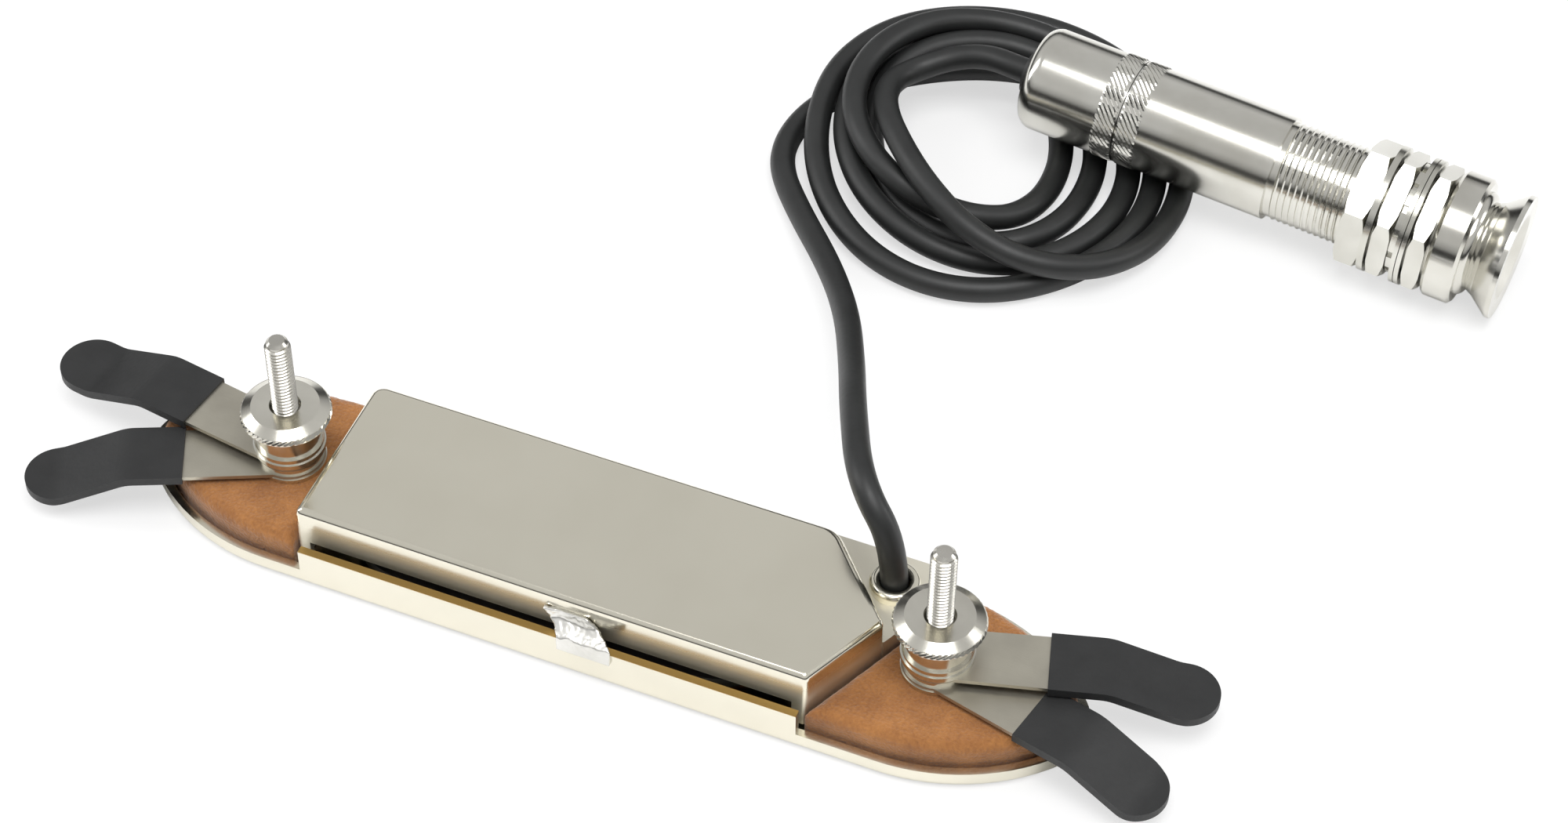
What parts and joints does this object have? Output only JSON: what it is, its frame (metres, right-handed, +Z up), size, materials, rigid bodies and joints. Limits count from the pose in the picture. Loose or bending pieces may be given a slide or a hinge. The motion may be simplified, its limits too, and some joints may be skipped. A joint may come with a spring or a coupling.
{
  "type": "soundhole pickup",
  "caption": "Passive magnetic soundhole pickup lying on its face: nickel housing, suede end pads, sprung clamp leaves under thumb nuts, looped lead and endpin jack.",
  "frame": {"origin": "centre of the front shell's flat face, which is what the pickup lies on", "axes": "+X along the pickup towards the end where the cord leaves, +Y towards its back edge and the coiled cord, +Z up through its back, away from the strings' side"},
  "size_m": [0.1521, 0.1198, 0.0247],
  "materials": {
    "shell_nickel": "polished nickel plate with a thin warm line along its cut edge",
    "cover_nickel": "polished nickel plate, mirror-like, faint handling haze",
    "ring_nickel": "polished nickel plate",
    "solder": "bright solder-coated strip",
    "suede": "brown suede with a short nap",
    "board": "plain laminate board",
    "former": "black moulded former",
    "enamelled_wire": "copper-coloured enamelled wire",
    "blade_steel": "plain steel",
    "magnet": "plain magnet alloy",
    "crimp_brass": "plain crimped brass",
    "cord": "black satin cable jacket",
    "bush": "black cable bush",
    "jack_nickel": "polished nickel plate, knurled band, fine thread",
    "nut_nickel": "nickel plate with turned faces",
    "washer_nickel": "nickel-plated steel",
    "button_nickel": "polished nickel plate",
    "contact_brass": "plain spring brass",
    "stud_steel": "plated steel with a fine thread",
    "thumb_nickel": "polished nickel plate with a diamond-knurled rim",
    "spring_steel": "satin spring steel",
    "heat_shrink": "black satin heat-shrink tube"
  },
  "bodies": {
    "pickup": {"front_shell": "shell_nickel", "rear_cover": "cover_nickel", "cord_ring": "ring_nickel", "ground_tab": "solder", "suede_pad_left": "suede", "suede_pad_right": "suede", "terminal_board": "board", "coil_former": "former", "coil_winding": "enamelled_wire", "steel_blade": "blade_steel", "bar_magnet": "magnet", "keeper_plate": "blade_steel", "cord_collar": "crimp_brass", "cord_lead": "cord", "cord_coil": "cord", "cord_tail": "cord", "cord_bush": "bush", "jack_rear_cap": "jack_nickel", "jack_body": "jack_nickel", "hex_nut_a": "nut_nickel", "hex_nut_b": "nut_nickel", "hex_nut_c": "nut_nickel", "flat_washer_a": "washer_nickel", "flat_washer_b": "washer_nickel", "flat_washer_c": "washer_nickel", "lock_washer": "washer_nickel", "strap_button": "button_nickel", "jack_insulator": "board", "tip_contact": "contact_brass", "stud_left": "stud_steel", "base_washer_left": "washer_nickel", "middle_washer_left": "washer_nickel", "stud_right": "stud_steel", "base_washer_right": "washer_nickel", "middle_washer_right": "washer_nickel"},
    "clamp_washer_left": {"top_washer_left": "washer_nickel"},
    "clamp_washer_right": {"top_washer_right": "washer_nickel"},
    "thumb_nut_left": {"thumb_nut_left": "thumb_nickel"},
    "thumb_nut_right": {"thumb_nut_right": "thumb_nickel"},
    "spring_leaf_left_upper": {"leaf_left_upper": "spring_steel", "sleeve_left_upper": "heat_shrink"},
    "spring_leaf_left_lower": {"leaf_left_lower": "spring_steel", "sleeve_left_lower": "heat_shrink"},
    "spring_leaf_right_upper": {"leaf_right_upper": "spring_steel", "sleeve_right_upper": "heat_shrink"},
    "spring_leaf_right_lower": {"leaf_right_lower": "spring_steel", "sleeve_right_lower": "heat_shrink"}
  },
  "joints": [
    {"name": "leaf_swing_left_upper", "type": "hinge", "parent": "pickup", "child": "spring_leaf_left_upper", "pos_m": [-0.0388, 0, 0.006], "axis": [0, 0, 1], "range_deg": [-90, 4]},
    {"name": "leaf_swing_left_lower", "type": "hinge", "parent": "pickup", "child": "spring_leaf_left_lower", "pos_m": [-0.0388, 0, 0.006], "axis": [0, 0, 1], "range_deg": [-4, 70]},
    {"name": "leaf_swing_right_upper", "type": "hinge", "parent": "pickup", "child": "spring_leaf_right_upper", "pos_m": [0.0388, 0, 0.006], "axis": [0, 0, 1], "range_deg": [-3, 70]},
    {"name": "leaf_swing_right_lower", "type": "hinge", "parent": "pickup", "child": "spring_leaf_right_lower", "pos_m": [0.0388, 0, 0.006], "axis": [0, 0, 1], "range_deg": [-100, 3]},
    {"name": "washer_lift_left", "type": "slide", "parent": "pickup", "child": "clamp_washer_left", "axis": [0, 0, 1], "range_m": [0, 0.00899]},
    {"name": "nut_spin_left", "type": "hinge", "parent": "clamp_washer_left", "child": "thumb_nut_left", "pos_m": [-0.0388, 0, 0.0085], "axis": [0, 0, 1], "range_deg": [0, 6480]},
    {"name": "washer_lift_right", "type": "slide", "parent": "pickup", "child": "clamp_washer_right", "axis": [0, 0, 1], "range_m": [0, 0.00899]},
    {"name": "nut_spin_right", "type": "hinge", "parent": "clamp_washer_right", "child": "thumb_nut_right", "pos_m": [0.0388, 0, 0.0085], "axis": [0, 0, 1], "range_deg": [0, 6480]}
  ],
  "couplings": [
    {"joint": "nut_spin_left", "follows": "washer_lift_left", "rad_per_m": 12566},
    {"joint": "nut_spin_right", "follows": "washer_lift_right", "rad_per_m": 12566}
  ]
}
